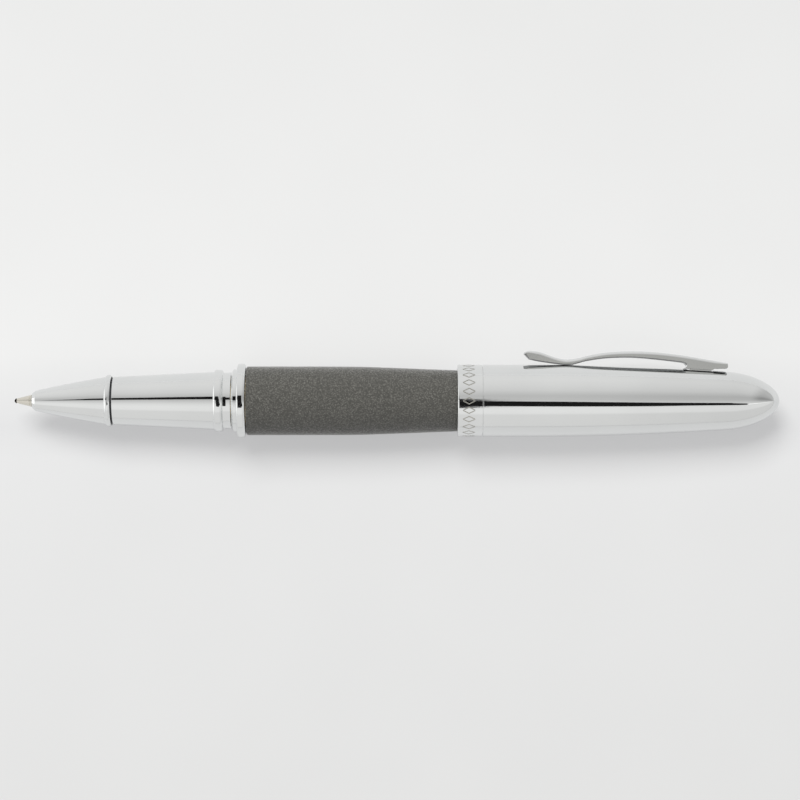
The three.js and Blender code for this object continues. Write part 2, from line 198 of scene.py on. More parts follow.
def spline(points, steps=12):
    """A Catmull-Rom curve through points, both ends included."""
    ends = [points[0], *points, points[-1]]
    result = []
    for p0, p1, p2, p3 in zip(ends, ends[1:], ends[2:], ends[3:]):
        for i in range(steps):
            t = i / steps
            result.append(tuple(
                0.5 * (2 * b + (c - a) * t + (2 * a - 5 * b + 4 * c - d) * t ** 2
                       + (3 * b - a - 3 * c + d) * t ** 3)
                for a, b, c, d in zip(p0, p1, p2, p3)
            ))
    return [*result, points[-1]]


# ---- meshes ----

class Mesh:
    """Vertices, faces, split normals and material numbers of a piece."""

    def __init__(self):
        self.vertices, self.faces, self.normals, self.paint = [], [], [], []

    def vertex(self, station, across, up):
        self.vertices.append(world_point(station, across, up))
        return len(self.vertices) - 1

    def face(self, corners, normals, paint=0):
        loop = [(c, n) for i, (c, n) in enumerate(zip(corners, normals)) if c not in corners[:i]]
        self.faces.append([c for c, _ in loop])
        self.normals.extend(n for _, n in loop)
        self.paint.append(paint)

    def piece(self, name, own_normals=True):
        mesh = bpy.data.meshes.new(name)
        mesh.from_pydata(self.vertices, [], self.faces)
        mesh.polygons.foreach_set("use_smooth", [True] * len(self.faces))
        mesh.polygons.foreach_set("material_index", self.paint)
        if own_normals:
            mesh.normals_split_custom_set([Vector(n).normalized() for n in self.normals])
        else:
            mesh.set_sharp_from_angle(angle=CREASE)
        piece = bpy.data.objects.new(name, mesh)
        bpy.context.scene.collection.objects.link(piece)
        return piece


def turned(
    name, outline, columns=FINE, warp=None, raised=None, paint=None, sweep=None, hole=None
):
    """Turns an outline round the pen's axis; angle 0 is the clip's side and 90 degrees the top.

    warp(station, radius, column) gives a radius and an angle, with the outline's own normals;
    raised(station, radius, angle) gives a radius, with normals from the mesh;
    paint(station, radius, column) gives a face's material number; sweep is the (first, last) angle
    of a part turn; hole is the (first station, last station, columns each side) of a slot at
    angle 0.
    """
    samples = trace(outline)
    closed = outline[0][1] > 0
    if sweep:
        angles = np.linspace(*sweep, columns + 1)
    else:
        angles = np.arange(columns) * FULL_TURN / columns
    mesh = Mesh()
    grid, turns = [], []
    for station, radius, *_ in samples:
        row, row_angles = [], []
        for k, angle in enumerate(angles):
            r = radius
            if warp:
                r, angle = warp(station, radius, k)
            if raised:
                r = raised(station, radius, angle)
            if radius > SAME or not row:
                row.append(mesh.vertex(station, r * math.cos(angle), r * math.sin(angle)))
            else:
                row.append(row[0])
            row_angles.append(angle)
        grid.append(row)
        turns.append(row_angles)

    def normal(j, k, flat):
        angle = turns[j][k]
        return flat[0], flat[1] * math.cos(angle), flat[1] * math.sin(angle)

    def in_hole(low, high, k):
        if not hole:
            return False
        first, last, side = hole
        beside = (k + side) % columns < 2 * side
        return beside and low > first - SAME and high < last + SAME

    for j in range(len(samples) if closed else len(samples) - 1):
        nxt = (j + 1) % len(samples)
        here, there = samples[j][3], samples[nxt][2]
        low, high = sorted((samples[j][0], samples[nxt][0]))
        between = (low + high) / 2, (samples[j][1] + samples[nxt][1]) / 2
        for k in range(columns):
            if in_hole(low, high, k):
                continue
            m = (k + 1) % len(angles)
            corners = (j, k, here), (j, m, here), (nxt, m, there), (nxt, k, there)
            mesh.face(
                [grid[row][column] for row, column, _ in corners],
                [normal(*corner) for corner in corners],
                paint(*between, k) if paint else 0,
            )
    if sweep:
        for k, way in ((0, 1), (columns, -1)):
            side = (0, way * math.sin(angles[k]), -way * math.cos(angles[k]))
            mesh.face([row[k] for row in grid][::way], [side] * len(grid))
    if hole:
        slot_walls(mesh, samples, angles, grid, hole)
    return mesh.piece(name, own_normals=not raised)


def slot_walls(mesh, samples, angles, grid, hole):
    """The walls of a slot, between the outer and the inner surface."""
    first, last, side = hole
    inside = [j for j, s in enumerate(samples) if first - SAME < s[0] < last + SAME]
    inner = [j for j in inside if samples[j][3][1] < 0]
    outer = [j for j in inside if samples[j][3][1] > 0]
    for k, way in ((-side, 1), (side, -1)):
        wall = [grid[j][k] for j in outer + inner][::-way]
        angle = angles[k]
        mesh.face(wall, [(0, -way * math.sin(angle), way * math.cos(angle))] * len(wall))
    for out, inn, way in ((outer[0], inner[-1], 1), (outer[-1], inner[0], -1)):
        for k in range(-side, side):
            wall = [grid[out][k], grid[out][k + 1], grid[inn][k + 1], grid[inn][k]][::way]
            mesh.face(wall, [(way, 0, 0)] * 4)


def slab(mesh, outline, half_width, rim, crown=0.0):
    """A plate whose side view is an outline of (station, height, corner) points, with rounded rims.

    half_width(station) is half its thickness across the pen; rim(station, height, slope) is the
    (width, depth) of the rim where the outline faces up by slope; crown is how far the face that
    looks away from the pen falls off towards its sides. The flat sides have material 1
    and the underside has material 2.
    """
    rim_steps, face_steps, under = 10, 8, -0.01
    back_paint, side_paint, under_paint = 0, 1, 2
    angles = list(np.linspace(0, math.pi / 2, rim_steps + 1))
    rows = [(-1, angle) for angle in angles]
    rows += [(t, math.pi / 2) for t in np.linspace(-1, 1, face_steps + 1)[1:-1]]
    rows += [(1, angle) for angle in angles[::-1]]
    facing = []
    for i, (station, height, _) in enumerate(outline):
        point = (station, height)
        before = left_of(heading(outline[i - 1], point))
        after = left_of(heading(point, outline[(i + 1) % len(outline)]))
        normal = middle(before, after)
        facing.append((normal, normal[0] * before[0] + normal[1] * before[1]))
    grid, directions = [], []
    for side, angle in rows:
        moved, offsets = [], []
        for (station, height, corner), (normal, mitre) in zip(outline, facing):
            half = half_width(station)
            width, depth = rim(station, height, normal[1])
            across = side * (half - width) + math.copysign(width * math.cos(angle), side)
            fall = crown * max(0, normal[1]) ** 2
            drop = depth * (1 - math.sin(angle)) + fall * (across / half) ** 2
            if corner > 0:
                corner = max(0.01, corner - drop)
            moved.append((
                station - normal[0] * drop / mitre, height - normal[1] * drop / mitre, corner,
            ))
            flat, lateral = width * math.sin(angle), depth * math.cos(angle)
            tilt = 2 * fall * across / half ** 2
            offsets.append((across, flat, math.copysign(lateral, side), tilt))
        row, row_directions = [], []
        for station, height, before, after, i in trace(moved, steps=5):
            across, flat, lateral, tilt = offsets[i]
            row.append(mesh.vertex(station, height, across))
            row_directions.append(
                [(n[0] * flat, n[1] * flat, lateral + tilt * flat) for n in (before, after)]
            )
        grid.append(row)
        directions.append(row_directions)
    size = len(grid[0])
    for r in range(len(grid) - 1):
        for i in range(size):
            j = (i + 1) % size
            corners = (r, i, 1), (r + 1, i, 1), (r + 1, j, 0), (r, j, 0)
            normals = [directions[row][point][way] for row, point, way in corners]
            lifts = [height for _, height, _ in normals[1:3]]
            mesh.face(
                [grid[row][point] for row, point, _ in corners], normals,
                paint=under_paint if max(lifts) < under else back_paint,
            )
    mesh.face(grid[0], [(0, 0, -1)] * size, paint=side_paint)
    mesh.face(grid[-1][::-1], [(0, 0, 1)] * size, paint=side_paint)


def wire(mesh, path, radius, sides):
    """A round wire with closed ends along a path of Vectors."""
    rings = []
    for i, point in enumerate(path):
        along = (path[min(i + 1, len(path) - 1)] - path[max(i - 1, 0)]).normalized()
        side = along.cross(Vector((1, 0, 0))).normalized()
        up = along.cross(side)
        ring = []
        for k in range(sides):
            angle = FULL_TURN * k / sides
            normal = side * math.cos(angle) + up * math.sin(angle)
            ring.append((mesh.vertex(*(point + normal * radius)), tuple(normal)))
        rings.append(ring)
    for near, far in zip(rings, rings[1:]):
        for k in range(sides):
            quad = [near[k], near[(k + 1) % sides], far[(k + 1) % sides], far[k]]
            mesh.face([c for c, _ in quad], [n for _, n in quad])
    for ring, end, way in ((rings[0], path[0] - path[1], -1), (rings[-1], path[-1] - path[-2], 1)):
        mesh.face([c for c, _ in ring][::way], [tuple(end)] * sides)


def finished(piece, node, *materials):
    """Puts a piece in a CAD node's place, on its body and with its materials."""
    for material in materials:
        piece.data.materials.append(material)
    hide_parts(node)
    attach(piece, body_of(node))


# ---- materials ----

class Tree:
    """A node tree, of a material or of the world."""

    def __init__(self, owner):
        owner.use_nodes = True
        self.tree = owner.node_tree

    def add(self, kind, inputs=None, **settings):
        node = self.tree.nodes.new(kind)
        for key, value in settings.items():
            setattr(node, key, value)
        for key, value in (inputs or {}).items():
            self.put(node.inputs[key], value)
        return node

    def put(self, socket, value):
        if isinstance(value, bpy.types.NodeSocket):
            self.tree.links.new(value, socket)
        elif socket.type == "RGBA" and len(value) == 3:
            socket.default_value = (*value, 1)
        else:
            socket.default_value = value

    def math(self, operation, a, b):
        return self.add("ShaderNodeMath", {0: a, 1: b}, operation=operation).outputs[0]

    def between(self, value, low, high, new_low=0.0, new_high=1.0, **settings):
        """A value that runs from new_low at low to new_high at high, and stays there beyond."""
        node = self.add("ShaderNodeMapRange", {
            "Value": value, "From Min": low, "From Max": high,
            "To Min": new_low, "To Max": new_high,
        }, **settings)
        return node.outputs["Result"]


class Nodes(Tree):
    """A material and its node tree."""

    def __init__(self, name):
        self.material = bpy.data.materials.new(name)
        super().__init__(self.material)
        self.shader = self.tree.nodes["Principled BSDF"]

    def set(self, **inputs):
        for key, value in inputs.items():
            self.put(self.shader.inputs[key.replace("_", " ")], value)

    def grain(self, size, detail=2.0, roughness=0.5, stretch=(1, 1, 1)):
        """Noise whose features are about size millimetres across, stretched along X, Y and Z."""
        place = self.add("ShaderNodeTexCoord").outputs["Object"]
        scale = tuple(1 / (MM * size * s) for s in stretch)
        mapping = self.add("ShaderNodeMapping", {"Vector": place, "Scale": scale})
        node = self.add("ShaderNodeTexNoise", {
            "Vector": mapping.outputs["Vector"], "Scale": 1.0,
            "Detail": detail, "Roughness": roughness,
        })
        return node.outputs["Fac"]

    def cells(self, size):
        """Rounded cells about size millimetres across, high in their middles."""
        place = self.add("ShaderNodeTexCoord").outputs["Object"]
        node = self.add("ShaderNodeTexVoronoi", {"Vector": place, "Scale": 1 / (MM * size)})
        return self.between(node.outputs["Distance"], 0.0, 0.7, 1.0, 0.0)

    def mixed(self, a, b, share):
        """A share of a and the rest of b."""
        rest = self.math("MULTIPLY", b, 1 - share)
        return self.math("ADD", self.math("MULTIPLY", a, share), rest)

    def colour(self, value, *stops):
        """A colour ramp of (position, colour) stops."""
        ramp = self.add("ShaderNodeValToRGB", {"Fac": value})
        elements = ramp.color_ramp.elements
        while len(elements) < len(stops):
            elements.new(0.5)
        for element, (position, colour) in zip(elements, stops):
            element.position = position
            element.color = (*colour, 1)
        return ramp.outputs["Color"]

    def bump(self, height, depth, under=None):
        """A bump depth millimetres deep."""
        inputs = {"Height": height, "Strength": 1.0, "Distance": depth * MM}
        if under:
            inputs["Normal"] = under
        return self.add("ShaderNodeBump", inputs).outputs["Normal"]


def metal(name, colour, darker, roughness, wear, scratch, stretch=(6, 1, 1), edge=1.0):
    """Polished or turned metal: smudges in its gloss and hairline scratches of a given depth."""
    nodes = Nodes(name)
    smudges = nodes.grain(3.5, detail=3.0, roughness=0.6)
    hairlines = nodes.grain(0.22, roughness=0.7, stretch=stretch)
    patches = nodes.grain(9.0, detail=1.0)
    gloss = nodes.math("MULTIPLY", smudges, nodes.between(hairlines, 0.35, 0.75, 0.6, 1.4))
    nodes.set(
        Base_Color=nodes.colour(patches, (0.35, darker), (0.65, colour)),
        Metallic=1.0,
        Specular_Tint=(edge, edge, edge),
        Roughness=nodes.between(gloss, 0.2, 0.8, roughness, roughness + wear),
        Normal=nodes.bump(hairlines, scratch),
    )
    return nodes.material


def leather_material():
    """Grey calf leather: a fine pebbled grain, rubbed paler on its high spots."""
    nodes = Nodes("grey_leather")
    pebble = nodes.cells(0.32)
    pores = nodes.grain(0.24, detail=1.0)
    cloud = nodes.grain(5.0, detail=3.0, roughness=0.6)
    height = nodes.mixed(pebble, pores, 0.35)
    tone = nodes.mixed(height, cloud, 0.94)
    nodes.set(
        Base_Color=nodes.colour(
            tone, (0.36, (0.033, 0.0325, 0.029)), (0.51, (0.056, 0.055, 0.0495)),
            (0.66, (0.09, 0.0885, 0.08)),
        ),
        Roughness=nodes.between(height, 0.3, 0.8, 0.66, 0.48),
        Normal=nodes.bump(pores, 0.06, nodes.bump(pebble, 0.06)),
        Sheen_Weight=0.6,
        Sheen_Roughness=0.33,
    )
    return nodes.material


def plastic(name, colour, paler):
    """Moulded plastic with a fine spark-eroded texture."""
    nodes = Nodes(name)
    cloud = nodes.grain(4.0)
    nodes.set(
        Base_Color=nodes.colour(cloud, (0.3, colour), (0.7, paler)),
        Roughness=nodes.between(cloud, 0.3, 0.7, 0.38, 0.5),
        Normal=nodes.bump(nodes.grain(0.12), 0.008),
    )
    return nodes.material


def fibre():
    """Bonded fibre soaked with ink: fine strands along the pen."""
    nodes = Nodes("ink_fibre")
    strands = nodes.grain(0.12, detail=3.0, roughness=0.7, stretch=(25, 1, 1))
    nodes.set(
        Base_Color=nodes.colour(strands, (0.35, (0.008, 0.009, 0.04)), (0.7, (0.03, 0.035, 0.12))),
        Roughness=nodes.between(strands, 0.3, 0.7, 0.7, 0.95),
        Normal=nodes.bump(strands, 0.03),
    )
    return nodes.material


CHROME = metal("polished_chrome", (0.77, 0.78, 0.78), (0.755, 0.765, 0.765), 0.03, 0.04, 0.0001)
SATIN = metal("satin_chrome", (0.56, 0.565, 0.55), (0.54, 0.545, 0.53), 0.05, 0.05, 0.0001)
# Darker than the clip's real metal: it stands for the dark reflections along its underside.
UNDERSIDE = metal("chrome_painted_dark_reflection", (0.33, 0.335, 0.335), (0.29, 0.295, 0.295), 0.2, 0.1, 0.0005)
ETCHED = metal("etched_chrome", (0.55, 0.54, 0.50), (0.50, 0.49, 0.45), 0.45, 0.15, 0.004)
NICKEL = metal("nickel_silver", (0.74, 0.71, 0.64), (0.69, 0.66, 0.59), 0.16, 0.12, 0.001)
STEEL = metal("drawn_steel", (0.62, 0.63, 0.64), (0.56, 0.57, 0.58), 0.2, 0.15, 0.001)
CARBIDE = metal(
    "ground_carbide", (0.03, 0.027, 0.024), (0.02, 0.018, 0.016), 0.15, 0.1, 0.0005, edge=0.1
)
BRASS = metal("turned_brass", (0.78, 0.62, 0.32), (0.70, 0.54, 0.26), 0.22, 0.15, 0.002, (1, 6, 6))
LEATHER = leather_material()
BLACK = plastic("black_plastic", (0.018, 0.019, 0.021), (0.03, 0.031, 0.034))
FIBRE = fibre()


# ---- refill ----
BALL_R = 0.35
CONE_END = 3.35
CONE_R = 1.2
SHANK_R = 1.15
SHANK_END = 8.4
INK_BORE_R = 0.6
SHOULDER = 9.25
PLUG_R = 2.65


def writing_ball():
    steps = 48
    outline = []
    for i in range(steps + 1):
        angle = math.pi * i / steps
        radius = 0 if i in (0, steps) else BALL_R * math.sin(angle)
        outline.append((BALL_R - BALL_R * math.cos(angle), radius, SMOOTH))
    finished(turned("writing_ball_fine", outline, COARSE), "writing_ball", CARBIDE)


def refill_tip():
    outline = [
        (0.2, 0.345, SHARP), (0.2, 0.42, 0.03), (0.48, 0.47, 0.02), (0.62, 0.49, 0.1),
        (CONE_END - 0.4, CONE_R - 0.11, 0.04),
        (CONE_END - 0.32, CONE_R - 0.17, 0.03), (CONE_END - 0.2, CONE_R - 0.05, 0.03),
        (CONE_END, CONE_R, 0.04), (CONE_END + 0.05, SHANK_R, SHARP), (SHANK_END, SHANK_R, 0.1),
        (SHANK_END, INK_BORE_R, SHARP), (2.4, INK_BORE_R, SHARP), (2.2, 0.22, SHARP),
        (0.8, 0.22, SHARP), (0.7, 0.39, SHARP), (BALL_R, 0.39, SHARP),
    ]
    piece = turned("refill_tip_fine", outline, COARSE, paint=lambda station, *_: int(station < 0.5))
    finished(piece, "refill_tip", NICKEL, CARBIDE)


def refill_nose():
    first, last = span("refill_nose")
    bore, wick_bore = 1.25, 0.65
    outline = [
        (first, bore, SHARP), (first, 1.6, 0.15), (SHOULDER, 1.6, 0.1), (SHOULDER, 2.25, 0.15),
        (16.5, 2.25, 0.1), (16.5, 2.9, 0.15), (18, 2.9, 0.1), (18, PLUG_R, SHARP),
        (last, PLUG_R, 0.2), (last, wick_bore, SHARP), (8.6, wick_bore, SHARP), (8.6, bore, SHARP),
    ]
    finished(turned("refill_nose_fine", outline, COARSE), "refill_nose", BLACK)


def refill_tube():
    first, last = span("refill_tube")
    outer, inner = reach("refill_tube"), 2.75
    outline = [
        (first, inner, SHARP), (first, outer, 0.1), (22, outer, 0.3), (22.4, outer - 0.12, 0.3),
        (22.8, outer, 0.3), (last, outer, 0.1), (last, inner, SHARP),
    ]
    finished(turned("refill_tube_fine", outline, COARSE), "refill_tube", STEEL)


def refill_end_plug():
    first, last = span("refill_end_plug")
    vent, rim, rim_r = 0.4, span("refill_tube")[1] + 0.1, reach("refill_end_plug")
    outline = [
        (first, vent, SHARP), (first, PLUG_R, 0.2), (rim, PLUG_R, SHARP), (rim, rim_r, 0.05),
        (last, rim_r, 0.3), (last, vent, 0.1),
    ]
    finished(turned("refill_end_plug_fine", outline, COARSE), "refill_end_plug", BLACK)


def refill_spring():
    turns, coil_r, wire_r = 5, 2.65, 0.25
    first, last = span("refill_spring")
    steps = 48 * turns
    path = []
    for i in range(steps + 1):
        angle = FULL_TURN * turns * i / steps
        station = first + wire_r + (last - first - 2 * wire_r) * i / steps
        path.append(Vector((station, coil_r * math.cos(angle), coil_r * math.sin(angle))))
    mesh = Mesh()
    wire(mesh, path, wire_r * 0.98, 16)
    spring = mesh.piece("refill_spring_fine")
    spring.data.materials.append(STEEL)
    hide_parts("refill_spring")
    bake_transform(spring)


# ---- grip section ----
GRIP_FRONT_R = 4.7
GRIP_BORE_R = 4.3
REFILL_ROOM_R = 3.3
PITCH = 1.0
THREAD_FROM = 43.6
THREAD_TURNS = 4.5


def nose_radius(station):
    return 1.96 + 0.2275 * (station - 4) - 0.0022 * (station - 4) ** 2


def nose_cone():
    first, last = span("nose_cone")
    bevel_to, bead_from, bead_to, liner_r = 4.15, 17.95, 19.1, 4.2
    outline = [
        (first, 1.35, 0.06), (first, 1.52, 0.08), (bevel_to, nose_radius(bevel_to), 0.15),
        *curve(nose_radius, bevel_to + 0.15, bead_from, 48)[:-1],
        *bead(bead_from, bead_to, GRIP_FRONT_R, reach("nose_cone")),
        (bead_to, liner_r, SHARP), (last, liner_r, 0.3), (last, REFILL_ROOM_R, SHARP),
        (16.3, REFILL_ROOM_R, SHARP), (16.3, 2.4, SHARP), (9.2, 2.4, SHARP), (9.2, 1.75, SHARP),
        (5, 1.75, SHARP), (5, 1.35, SHARP),
    ]

    def seam_painted_shade(station, *_):
        """The seam's floor is painted black, as painted shade for the dark line that shows there.
        """
        return int(station > bead_to - 0.01)

    finished(turned("nose_cone_fine", outline, paint=seam_painted_shade), "nose_cone", CHROME, BLACK)


def grip_tube():
    first, last = span("grip_tube")
    snap_from, snap_to, snap_base, groove_r = 39.28, 41.1, 5.69, 5.55
    crest = reach("grip_tube")

    def shoulder(station, top, radius, angles):
        """An arc that falls away from the bead's crown, before or behind the station."""
        return [
            (station + radius * math.sin(a), top - radius * (1 - math.cos(a)), SMOOTH)
            for a in angles
        ]

    outline = [
        (first, GRIP_BORE_R, SHARP), (first, GRIP_FRONT_R, 0.12), (snap_from, snap_base, SHARP),
        *shoulder(snap_from + 0.47, crest, 0.62, np.linspace(-0.85, 0.018, 14)),
        *shoulder(snap_to - 0.62, crest - 0.014, 0.6, np.linspace(0.018, 1.4, 16)),
        (snap_to, groove_r + 0.012, 0.03), (snap_to + 0.65, groove_r, 0.1),
        (last, groove_r + 0.06, 0.05), (last, GRIP_BORE_R, SHARP),
    ]
    finished(turned("grip_tube_fine", outline), "grip_tube", CHROME)


def ridge(station, angle, start, turns):
    """How high a helical thread stands, from 0 to 1, with its ends run out."""
    half_root, half_crest, runout = 0.3, 0.14, 0.5
    turn = angle % FULL_TURN / FULL_TURN
    along = round((station - start) / PITCH - turn) + turn
    fade = min(along, turns - along) / runout + 0.2
    offset = abs(station - start - along * PITCH)
    return max(0.0, min(1.0, fade, (half_root - offset) / (half_root - half_crest)))


def section_coupling():
    first, last = span("section_coupling")
    shoulder = span("grip_tube")[1]
    liner_r, core, crest = 4.15, 3.75, 4.15
    outline = refined([
        (first, REFILL_ROOM_R, SHARP), (first, liner_r, 0.15), (shoulder, liner_r, SHARP),
        (shoulder, core, SHARP), (last, core, SHARP), (last, REFILL_ROOM_R, SHARP),
    ], 0.05, shoulder, last)

    def threaded(station, radius, angle):
        if abs(radius - core) > 0.01:
            return radius
        return core + (crest - core) * ridge(station, angle, THREAD_FROM, THREAD_TURNS)

    piece = turned("section_coupling_fine", outline, COARSE, raised=threaded)
    finished(piece, "section_coupling", BRASS)


# ---- barrel ----
LEATHER_R = 6.75
TAPER_FROM = 68
TAPER = 0.04
LEATHER_DEPTH = 0.8


def barrel_radius(station):
    """The leather's radius: straight, then tapering, with a soft bend between the two."""
    bend = 3.0
    past = station - TAPER_FROM
    return LEATHER_R - TAPER * (past + math.hypot(past, bend)) / 2


def barrel_front_ring():
    first, last = span("barrel_front_ring")
    collar_r, bore_r, top_r, ring_from = 6.2, 5, reach("barrel_front_ring"), 43.8
    outline = [
        (first, bore_r, SHARP), (first, 5.75, 0.06), (first + 0.3, collar_r, 0.12),
        (ring_from, collar_r, 0.05), (ring_from, top_r, 0.35), (last, top_r - 0.028, 0.6),
        (last, bore_r, SHARP),
    ]
    finished(turned("barrel_front_ring_fine", outline), "barrel_front_ring", CHROME)


def barrel_thread_bush():
    first, last = span("barrel_thread_bush")
    root, crest, flange, thread_to, bore = 4.3, 3.97, 45.7, 49.2, 3.5
    outline = refined([
        (first, root, SHARP), (first, 4.85, 0.08), (flange, 4.85, SHARP), (flange, 5.05, 0.08),
        (last, 5.05, 0.15), (last, bore, SHARP), (thread_to, bore, SHARP), (thread_to, root, SHARP),
    ], 0.05, first, thread_to)

    def threaded(station, radius, angle):
        if abs(radius - root) > 0.01:
            return radius
        height = ridge(station, angle, THREAD_FROM - PITCH / 2, THREAD_TURNS + 0.5)
        return root + (crest - root) * height

    piece = turned("barrel_thread_bush_fine", outline, COARSE, raised=threaded)
    finished(piece, "barrel_thread_bush", BRASS)


def leather_wrap():
    """The sleeve, its cut edges turned in, with a low grain and a butt seam along the underside."""
    first, last = span("leather_wrap")
    edge, columns, steps = 0.3, 288, 260
    seam_angle, seam_half, seam_depth = -math.pi / 2, 0.15, 0.15
    grain_depth = 0.02

    def turned_in(end, way, angle):
        station = end + way * edge * (1 - math.cos(angle))
        return station, barrel_radius(end) - edge * (1 - math.sin(angle)), SMOOTH

    angles = np.linspace(0, math.pi / 2, 6)[:-1]
    outline = [
        *(turned_in(first, 1, a) for a in angles),
        *curve(barrel_radius, first + edge, last - edge, steps),
        *(turned_in(last, -1, a) for a in angles[::-1]),
        *((s, barrel_radius(s) - LEATHER_DEPTH, SHARP) for s in (last, 90, 80, TAPER_FROM, first)),
    ]

    def grained(station, radius, angle):
        if radius < barrel_radius(station) - edge - 0.01:
            return radius
        across = radius * math.remainder(angle - seam_angle, FULL_TURN)
        place = Vector((station, radius * math.cos(angle), radius * math.sin(angle)))
        folds = noise.noise(place * 0.9) + 0.5 * noise.noise(place * 2.3)
        seam = seam_depth * math.exp(-((across / seam_half) ** 2))
        return radius + grain_depth * (folds * 0.6 - 0.8) - seam

    piece = turned("leather_wrap_fine", outline, columns, raised=grained)
    finished(piece, "leather_wrap", LEATHER)


def barrel_tube():
    first, last = span("barrel_tube")
    stations = [first, *np.linspace(60, 76, 9), last]

    def side(depth, stations):
        return [
            (s, barrel_radius(s) - depth, SHARP if s in (first, last) else SMOOTH) for s in stations
        ]

    outer_depth, inner_depth = LEATHER_DEPTH + 0.05, LEATHER_DEPTH + 0.75
    outline = side(outer_depth, stations) + side(inner_depth, stations[::-1])
    finished(turned("barrel_tube_fine", outline, COARSE), "barrel_tube", BRASS)


def barrel_end_cap():
    first, last = span("barrel_end_cap")
    tail_from = span("leather_wrap")[1] + 0.1
    tail_r, bore_r, spigot_r, floor_at = 4.75, 3.2, 3.6, 117.5
    outline = [
        (floor_at, 0, SMOOTH), (floor_at, bore_r, 0.3), (first, bore_r, SHARP),
        (first, spigot_r, 0.15), (tail_from, spigot_r, SHARP),
        (tail_from, barrel_radius(tail_from), 0.12),
        (last, tail_r, 1.5), (last, 0, SMOOTH),
    ]
    finished(turned("barrel_end_cap_fine", outline), "barrel_end_cap", CHROME)


# ---- cap ----
CAP_R = reach("cap_shell")
CAP_END = span("cap_shell")[1]
BOW_FROM = 98
BOW = 0.0008
DOME_FROM = 140
CAP_WALL = 0.7
MOUTH_BORE_R = 6.4
BAND_SEAT_R = 6.65
SLOT_FROM, SLOT_TO = 131.85, 136.95


def cap_bow(station):
    return CAP_R - BOW * max(0, station - BOW_FROM) ** 2


def cap_band():
    """The mouth band, with a chain of lozenges engraved round it."""
    first, last = span("cap_band")
    top, seat_r, seat_to = reach("cap_band"), BAND_SEAT_R + 0.1, 88.35
    frieze_from, frieze_to, wall = first + 1.0, first + 3.4, 0.03
    lozenges, half_height, stroke, depth = 24, 0.62, 0.2, 0.04
    pitch = FULL_TURN / lozenges
    rows = np.linspace(frieze_from + wall, frieze_to - wall, 15)
    outline = [
        (first, MOUTH_BORE_R, 0.06), (first, top, 0.3), (frieze_from, top, SMOOTH),
        *((s, top, SMOOTH) for s in rows), (frieze_to, top, SMOOTH), (last, top, 0.06),
        (last, seat_r, SHARP), (seat_to, seat_r, SHARP), (seat_to, MOUTH_BORE_R, SHARP),
    ]
    centre, half_length = (frieze_from + frieze_to) / 2, (frieze_to - frieze_from) / 2
    half_stroke = stroke * math.hypot(1, half_height / half_length) / 2

    def offsets(station):
        """Where the columns of one lozenge lie, as lengths round the band from its middle."""
        height = half_height * max(0, 1 - abs(station - centre) / half_length)
        inner, outer = max(0.02, height - half_stroke), height + half_stroke
        side = [inner, inner + 0.01, outer - 0.01, outer]
        return [-o for o in side[::-1]] + [0] + side + [pitch * CAP_R / 2]

    per_lozenge = len(offsets(centre))
    floor_columns, stroke_faces = (1, 2, 6, 7), (0, 1, 2, 5, 6, 7)  # numbers within one lozenge

    def engraved(station, radius, column):
        lozenge, k = divmod(column, per_lozenge)
        angle = lozenge * pitch + offsets(station)[k] / CAP_R
        in_frieze = frieze_from + wall / 2 < station < frieze_to - wall / 2
        on_floor = k in floor_columns and in_frieze and radius > top - 0.01
        return radius - (depth if on_floor else 0), angle

    def etched(station, radius, column):
        in_stroke = column % per_lozenge in stroke_faces
        return int(in_stroke and radius > top - 0.01 and frieze_from < station < frieze_to)

    piece = turned("cap_band_fine", outline, lozenges * per_lozenge, warp=engraved, paint=etched)
    finished(piece, "cap_band", CHROME, ETCHED)


def cap_shell():
    first = span("cap_shell")[0]
    shell_from = span("cap_band")[1] + 0.1
    recess_from, recess_to, recess_r = 91.95, 94.65, 6.6
    bow_steps, slot_steps, dome_steps, clear = 63, 6, 44, 0.2
    stations = [
        s for s in np.linspace(BOW_FROM, DOME_FROM, bow_steps + 1)
        if not SLOT_FROM - clear < s < SLOT_TO + clear
    ]
    stations = sorted([*stations, *np.linspace(SLOT_FROM, SLOT_TO, slot_steps + 1)])

    def surface(depth):
        points = [(s, cap_bow(s) - depth, SMOOTH) for s in stations]
        length = CAP_END - DOME_FROM - depth
        for i in range(1, dome_steps + 1):
            angle = math.pi / 2 * i / dome_steps
            station = DOME_FROM + length * math.sin(angle)
            radius = (cap_bow(station) - depth) * math.cos(angle) if i < dome_steps else 0
            points.append((station, radius, SMOOTH))
        return points

    outline = [
        *surface(CAP_WALL)[::-1], (recess_to, MOUTH_BORE_R, SHARP), (recess_to, recess_r, SHARP),
        (recess_from, recess_r, SHARP), (recess_from, MOUTH_BORE_R, SHARP),
        (first, MOUTH_BORE_R, SHARP), (first, BAND_SEAT_R, SHARP), (shell_from, BAND_SEAT_R, SHARP),
        (shell_from, CAP_R, 0.05), *surface(0),
    ]
    piece = turned("cap_shell_fine", outline, 240, hole=(SLOT_FROM, SLOT_TO, 8))
    finished(piece, "cap_shell", CHROME)


def cap_snap_ring():
    first, last = span("cap_snap_ring")
    outer, grip, half_split = reach("cap_snap_ring"), 6.0, 0.6
    gap = half_split / outer
    outline = [
        (first, outer - 0.2, 0.05), (first, outer, 0.05), (last, outer, 0.05),
        (last, outer - 0.2, 0.05), ((first + last) / 2, grip, 0.8),
    ]
    piece = turned("cap_snap_ring_fine", outline, 160, sweep=(gap - math.pi, math.pi - gap))
    finished(piece, "cap_snap_ring", STEEL)


